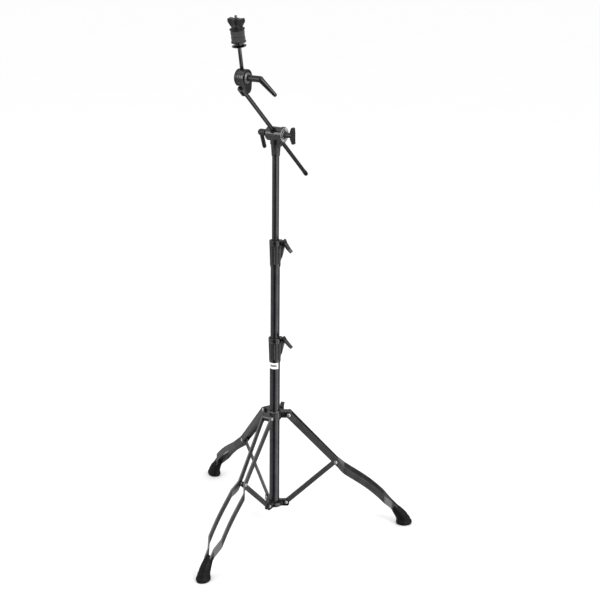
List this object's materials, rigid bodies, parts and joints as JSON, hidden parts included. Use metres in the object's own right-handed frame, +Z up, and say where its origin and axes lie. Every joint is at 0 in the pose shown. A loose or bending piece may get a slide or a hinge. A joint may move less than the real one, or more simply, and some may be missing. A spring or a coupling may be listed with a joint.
{
  "type": "cymbal boom stand",
  "caption": "Three-legged, double-braced cymbal boom stand with telescoping column, tilting boom and geared cymbal tilter; folds and slides as the real one does.",
  "frame": {"origin": "middle of the bounding box's base, on the floor", "axes": "+Z up; leg A points along +X; the boom's head leans toward -X and -Y"},
  "size_m": [0.609, 0.6978, 1.4693],
  "materials": {
    "black_plating": "black nickel plating, glossy",
    "cast_black": "black die-cast metal, semi-gloss",
    "handle_black": "black powder coat, satin",
    "nylon_black": "black nylon",
    "rubber_black": "matte",
    "felt_grey": "pressed felt",
    "steel": "bright zinc",
    "pale_zinc": "pale satin zinc",
    "label_white": "plain printed film"
  },
  "bodies": {
    "base": {"lower_tube": "black_plating", "lower_tube_cap": "nylon_black", "label_band": "label_white", "tripod_hub": "cast_black", "tripod_hub_rivets": "steel", "lower_clamp": "cast_black", "lower_clamp_nut": "steel"},
    "collar": {"leg_collar": "cast_black", "leg_collar_rivets": "steel"},
    "collar_bolt": {"leg_collar_bolt": "handle_black"},
    "lower_clamp_bolt": {"lower_clamp_bolt": "handle_black"},
    "lower_swivel": {"lower_clamp_bush": "nylon_black"},
    "middle": {"middle_tube": "black_plating", "upper_clamp": "cast_black", "upper_clamp_nut": "steel"},
    "upper_clamp_bolt": {"upper_clamp_bolt": "handle_black"},
    "upper_swivel": {"upper_clamp_bush": "nylon_black"},
    "top": {"top_tube": "black_plating", "boom_yoke": "cast_black", "boom_ratchet_plate": "pale_zinc"},
    "boom_head": {"boom_barrel": "cast_black"},
    "boom_wing_nut": {"boom_wing_nut": "handle_black"},
    "boom_lever": {"boom_lever": "handle_black"},
    "boom_bush": {"boom_bush": "nylon_black"},
    "boom": {"boom_rod": "black_plating", "boom_rod_cap": "rubber_black", "tilter_base": "cast_black", "tilter_plate": "pale_zinc"},
    "tilter": {"tilter_drum": "cast_black", "cymbal_post": "black_plating", "cymbal_seat": "cast_black"},
    "tilter_lever": {"tilter_lever": "handle_black"},
    "felt_low": {"cymbal_felt_lower": "felt_grey"},
    "felt_high": {"cymbal_felt_upper": "felt_grey", "cymbal_washer": "nylon_black"},
    "cymbal_nut": {"cymbal_wing_nut": "handle_black"},
    "leg_a": {"leg_a_bars": "black_plating", "leg_a_foot": "rubber_black", "leg_a_rivets": "steel"},
    "strut_a": {"strut_a": "black_plating", "strut_a_bushes": "nylon_black"},
    "leg_b": {"leg_b_bars": "black_plating", "leg_b_foot": "rubber_black", "leg_b_rivets": "steel"},
    "strut_b": {"strut_b": "black_plating", "strut_b_bushes": "nylon_black"},
    "leg_c": {"leg_c_bars": "black_plating", "leg_c_foot": "rubber_black", "leg_c_rivets": "steel"},
    "strut_c": {"strut_c": "black_plating", "strut_c_bushes": "nylon_black"}
  },
  "joints": [
    {"name": "leg_collar_slide", "type": "slide", "parent": "base", "child": "collar", "axis": [0, 0, 1], "range_m": [0, 0.1137]},
    {"name": "leg_a_fold", "type": "hinge", "parent": "collar", "child": "leg_a", "pos_m": [-0.05598, 0, 0.345], "axis": [0, 1, 0], "range_deg": [0, 39.86]},
    {"name": "strut_a_fold", "type": "hinge", "parent": "base", "child": "strut_a", "pos_m": [-0.06148, 0, 0.07], "axis": [0, -1, 0], "range_deg": [0, 43.15]},
    {"name": "leg_b_fold", "type": "hinge", "parent": "collar", "child": "leg_b", "pos_m": [-0.11598, -0.03464, 0.345], "axis": [0.866, -0.5, 0], "range_deg": [0, 39.86]},
    {"name": "strut_b_fold", "type": "hinge", "parent": "base", "child": "strut_b", "pos_m": [-0.11323, -0.02988, 0.07], "axis": [-0.866, 0.5, 0], "range_deg": [0, 43.15]},
    {"name": "leg_c_fold", "type": "hinge", "parent": "collar", "child": "leg_c", "pos_m": [-0.11598, 0.03464, 0.345], "axis": [-0.866, -0.5, 0], "range_deg": [0, 39.86]},
    {"name": "strut_c_fold", "type": "hinge", "parent": "base", "child": "strut_c", "pos_m": [-0.11323, 0.02988, 0.07], "axis": [0.866, 0.5, 0], "range_deg": [0, 43.15]},
    {"name": "collar_bolt_turn", "type": "hinge", "parent": "collar", "child": "collar_bolt", "pos_m": [-0.08248, 0.02338, 0.345], "axis": [0.5, 0.866, 0], "continuous": true},
    {"name": "lower_clamp_bolt_turn", "type": "hinge", "parent": "base", "child": "lower_clamp_bolt", "pos_m": [-0.07093, 0.00061, 0.564], "axis": [0.5, -0.866, 0], "continuous": true},
    {"name": "upper_clamp_bolt_turn", "type": "hinge", "parent": "middle", "child": "upper_clamp_bolt", "pos_m": [-0.07231, -0.00019, 0.841], "axis": [0.5, -0.866, 0], "continuous": true},
    {"name": "middle_swivel", "type": "hinge", "parent": "base", "child": "lower_swivel", "pos_m": [-0.09598, 0, 0.56], "axis": [0, 0, 1], "continuous": true},
    {"name": "middle_tube_slide", "type": "slide", "parent": "lower_swivel", "child": "middle", "axis": [0, 0, 1], "range_m": [-0.2, 0.17]},
    {"name": "top_swivel", "type": "hinge", "parent": "middle", "child": "upper_swivel", "pos_m": [-0.09598, 0, 0.838], "axis": [0, 0, 1], "continuous": true},
    {"name": "top_tube_slide", "type": "slide", "parent": "upper_swivel", "child": "top", "axis": [0, 0, 1], "range_m": [-0.22, 0.165]},
    {"name": "boom_tilt", "type": "hinge", "parent": "top", "child": "boom_head", "pos_m": [-0.09598, 0, 1.1444], "axis": [0.848, -0.53, 0], "range_deg": [-22, 50]},
    {"name": "boom_wing_nut_turn", "type": "hinge", "parent": "boom_head", "child": "boom_wing_nut", "pos_m": [-0.05358, -0.0265, 1.1444], "axis": [0.848, -0.53, 0], "continuous": true},
    {"name": "boom_lever_turn", "type": "hinge", "parent": "boom_head", "child": "boom_lever", "pos_m": [-0.1299, 0.0212, 1.1444], "axis": [-0.848, 0.53, 0], "continuous": true},
    {"name": "boom_rod_turn", "type": "hinge", "parent": "boom_head", "child": "boom_bush", "pos_m": [-0.09598, 0, 1.1444], "axis": [-0.4, -0.64, 0.6561], "continuous": true},
    {"name": "boom_rod_slide", "type": "slide", "parent": "boom_bush", "child": "boom", "axis": [-0.4, -0.64, 0.6561], "range_m": [-0.125, 0.175]},
    {"name": "cymbal_tilt", "type": "hinge", "parent": "boom", "child": "tilter", "pos_m": [-0.17919, -0.13314, 1.3125], "axis": [0.848, -0.53, 0], "range_deg": [-70, 75]},
    {"name": "tilter_lever_turn", "type": "hinge", "parent": "boom", "child": "tilter_lever", "pos_m": [-0.15375, -0.14904, 1.3125], "axis": [0.848, -0.53, 0], "continuous": true},
    {"name": "lower_felt_lift", "type": "slide", "parent": "tilter", "child": "felt_low", "axis": [-0.1057, -0.1691, 0.9799], "range_m": [0, 0.07]},
    {"name": "upper_felt_lift", "type": "slide", "parent": "felt_low", "child": "felt_high", "axis": [-0.1057, -0.1691, 0.9799], "range_m": [0, 0.06]},
    {"name": "cymbal_nut_turn", "type": "hinge", "parent": "felt_high", "child": "cymbal_nut", "pos_m": [-0.19398, -0.1568, 1.44969], "axis": [-0.1057, -0.1691, 0.9799], "continuous": true}
  ],
  "couplings": [
    {"joint": "leg_a_fold", "follows": "leg_collar_slide", "rad_per_m": 6.0731},
    {"joint": "strut_a_fold", "follows": "leg_collar_slide", "rad_per_m": 6.5781},
    {"joint": "leg_b_fold", "follows": "leg_collar_slide", "rad_per_m": 6.0731},
    {"joint": "strut_b_fold", "follows": "leg_collar_slide", "rad_per_m": 6.5781},
    {"joint": "leg_c_fold", "follows": "leg_collar_slide", "rad_per_m": 6.0731},
    {"joint": "strut_c_fold", "follows": "leg_collar_slide", "rad_per_m": 6.5781}
  ]
}
